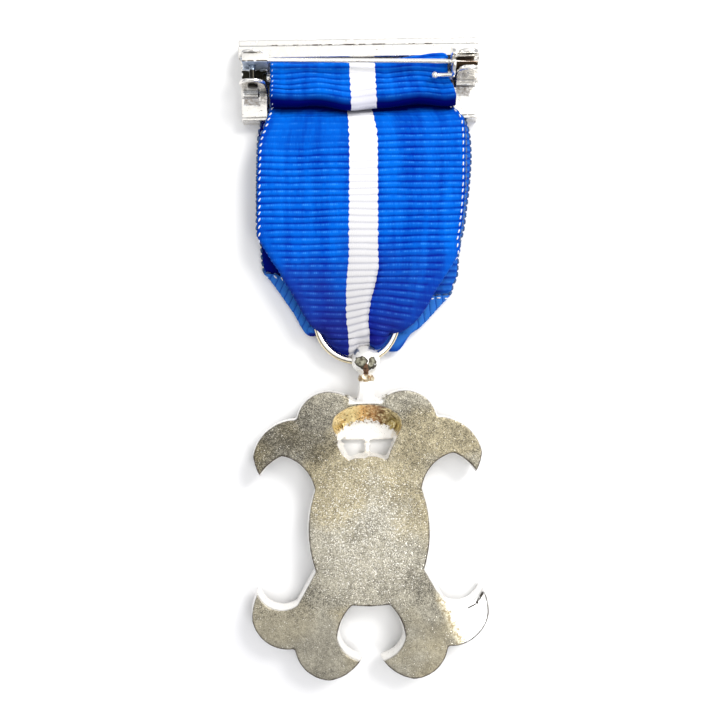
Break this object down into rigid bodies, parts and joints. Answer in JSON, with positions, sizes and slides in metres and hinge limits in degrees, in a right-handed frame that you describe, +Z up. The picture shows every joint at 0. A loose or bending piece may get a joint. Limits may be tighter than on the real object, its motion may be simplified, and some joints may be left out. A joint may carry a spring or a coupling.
{
  "type": "order cross with ribbon and brooch bar",
  "caption": "Order cross with split, flared arms round an oval, on a suspension ring, a striped ribbon and a brooch bar with a hinged pin and turning catch; it lies face down.",
  "frame": {"origin": "on the surface that the order lies on, under the middle of its bounding box", "axes": "+Z is up, out of the back of the order; +Y runs from the cross to the brooch bar; X runs along the bar"},
  "size_m": [0.0346, 0.0908, 0.008],
  "materials": {
    "frame_metal": "bright silver plate with grain and a little tarnish",
    "rivet_metal": "dull tarnished plate",
    "pin_metal": "bright drawn wire",
    "catch_metal": "bright plate",
    "ribbon_cloth": "ribbed silk weave, blue with a white middle stripe",
    "ring_metal": "polished wire",
    "cross_metal": "grainy cast back, plated, with a warm tarnish"
  },
  "bodies": {
    "medal": {"brooch_frame": "frame_metal", "hinge_rivet": "rivet_metal", "ribbon": "ribbon_cloth", "suspension_ring": "ring_metal", "cross": "cross_metal"},
    "pin": {"brooch_pin": "pin_metal"},
    "catch": {"catch_lever": "catch_metal"}
  },
  "joints": [
    {"name": "pin_swing", "type": "hinge", "parent": "medal", "child": "pin", "pos_m": [-0.01505, 0.0412, 0.0051], "axis": [0, -1, 0], "range_deg": [0, 85]},
    {"name": "catch_turn", "type": "hinge", "parent": "medal", "child": "catch", "pos_m": [0.0142, 0.0407, 0.006], "axis": [-1, 0, 0], "range_deg": [0, 120]}
  ]
}
